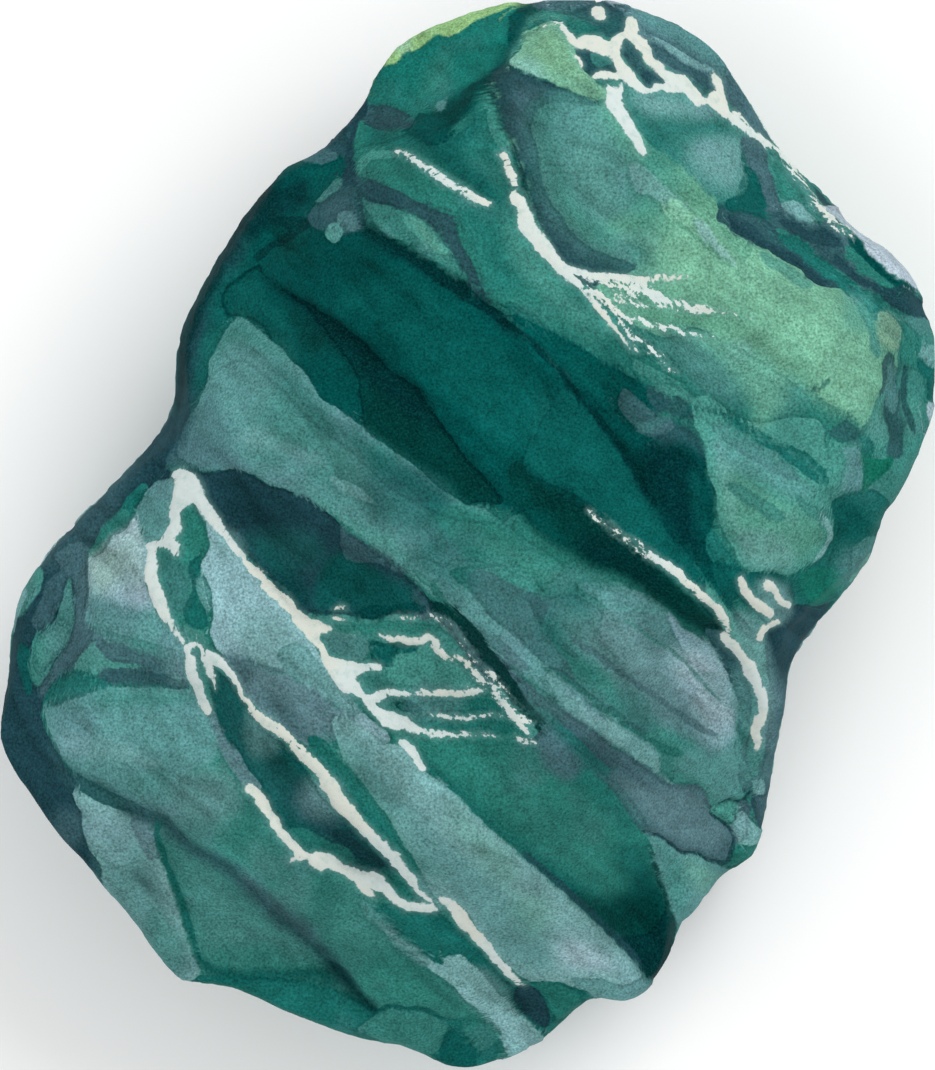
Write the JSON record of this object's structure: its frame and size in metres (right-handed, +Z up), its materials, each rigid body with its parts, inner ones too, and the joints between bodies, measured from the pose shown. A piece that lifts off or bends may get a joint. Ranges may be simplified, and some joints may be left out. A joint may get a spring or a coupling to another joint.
{
  "type": "raw jade stone",
  "caption": "Rough, unpolished hand specimen of green jade: a blocky broken lump with nearly parallel fracture ledges and thin pale veins.",
  "frame": {"origin": "on the resting face, under the middle of the stone's box", "axes": "+Z up from the resting face, the stone's shortest way; +Y along its longest side; +X across it, to complete a right-handed frame"},
  "size_m": [0.0747, 0.0854, 0.038],
  "materials": {
    "jade": "satin"
  },
  "bodies": {
    "root": {"jade_stone": "jade"}
  },
  "joints": []
}
